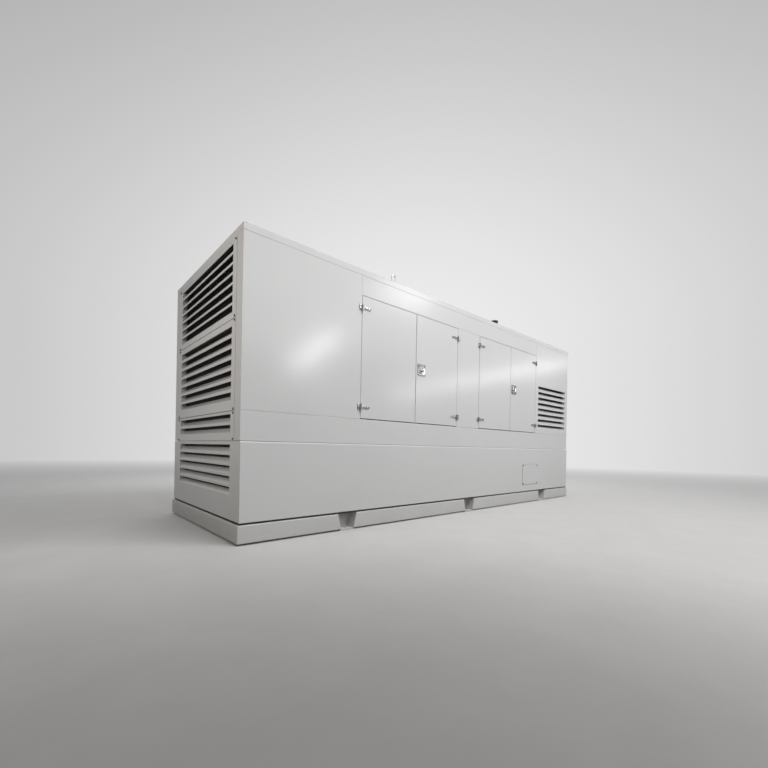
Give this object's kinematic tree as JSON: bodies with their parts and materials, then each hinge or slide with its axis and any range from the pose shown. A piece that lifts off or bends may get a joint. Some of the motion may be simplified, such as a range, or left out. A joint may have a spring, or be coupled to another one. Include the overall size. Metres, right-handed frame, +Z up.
{
  "type": "generator set",
  "caption": "Enclosed generator set: long sheet steel canopy with paired hinged access doors, louvred air openings and a base frame with anchor pockets.",
  "frame": {"origin": "bottom centre of the base frame", "axes": "+X along the length away from the louvred end, -Y out of the side with the jointed doors, +Z up"},
  "size_m": [5.51, 1.839, 2.4989],
  "materials": {
    "acoustic_lining": "dark faced acoustic lining",
    "base_paint": "satin light grey paint",
    "breather_cap": "satin black",
    "canopy_paint": "satin light grey powder coat",
    "frame_paint": "matt dark grey paint",
    "hinge_steel": "satin stainless steel",
    "latch_chrome": "polished",
    "loop_steel": "galvanised",
    "screen_mesh": "matt black"
  },
  "bodies": {
    "canopy": {"access_plate": "canopy_paint", "base_floor": "frame_paint", "canopy_lining": "acoustic_lining", "cross_members": "frame_paint", "deck": "frame_paint", "door_stops": "canopy_paint", "end_skirts": "base_paint", "front_anchor_pockets": "base_paint", "front_belt": "canopy_paint", "front_header": "canopy_paint", "front_left_panel": "canopy_paint", "front_lower_wall": "canopy_paint", "front_pillar": "canopy_paint", "front_right_panel": "canopy_paint", "front_skirt": "base_paint", "hinge_leaves": "hinge_steel", "left_end_posts": "canopy_paint", "left_louvre_screens": "screen_mesh", "left_lower_louvre": "canopy_paint", "left_lower_wall": "canopy_paint", "left_middle_louvre": "canopy_paint", "left_upper_louvre": "canopy_paint", "lifting_loops": "loop_steel", "rear_anchor_pockets": "base_paint", "rear_belt": "canopy_paint", "rear_door_fittings": "hinge_steel", "rear_doors": "canopy_paint", "rear_header": "canopy_paint", "rear_left_panel": "canopy_paint", "rear_lower_wall": "canopy_paint", "rear_pillar": "canopy_paint", "rear_right_panel": "canopy_paint", "rear_skirt": "base_paint", "right_end_panels": "canopy_paint", "right_end_posts": "canopy_paint", "right_lower_wall": "canopy_paint", "roof": "canopy_paint", "roof_breather": "breather_cap", "side_louvre_screens": "screen_mesh", "support_pads": "frame_paint"},
    "door_1": {"door_1": "canopy_paint", "door_1_hinge_straps": "hinge_steel", "door_1_lining": "acoustic_lining"},
    "door_2": {"door_2": "canopy_paint", "door_2_hinge_straps": "hinge_steel", "door_2_latch": "latch_chrome", "door_2_lining": "acoustic_lining"},
    "door_3": {"door_3": "canopy_paint", "door_3_hinge_straps": "hinge_steel", "door_3_lining": "acoustic_lining"},
    "door_4": {"door_4": "canopy_paint", "door_4_hinge_straps": "hinge_steel", "door_4_latch": "latch_chrome", "door_4_lining": "acoustic_lining"}
  },
  "joints": [
    {"name": "door_1_swing", "type": "hinge", "parent": "canopy", "child": "door_1", "pos_m": [-1.62, -0.9075, 1.5835], "axis": [0, 0, -1], "range_deg": [0, 100]},
    {"name": "door_2_swing", "type": "hinge", "parent": "canopy", "child": "door_2", "pos_m": [-0.194, -0.9075, 1.5835], "axis": [0, 0, 1], "range_deg": [0, 100]},
    {"name": "door_3_swing", "type": "hinge", "parent": "canopy", "child": "door_3", "pos_m": [0.244, -0.9075, 1.5835], "axis": [0, 0, -1], "range_deg": [0, 100]},
    {"name": "door_4_swing", "type": "hinge", "parent": "canopy", "child": "door_4", "pos_m": [1.67, -0.9075, 1.5835], "axis": [0, 0, 1], "range_deg": [0, 100]}
  ]
}
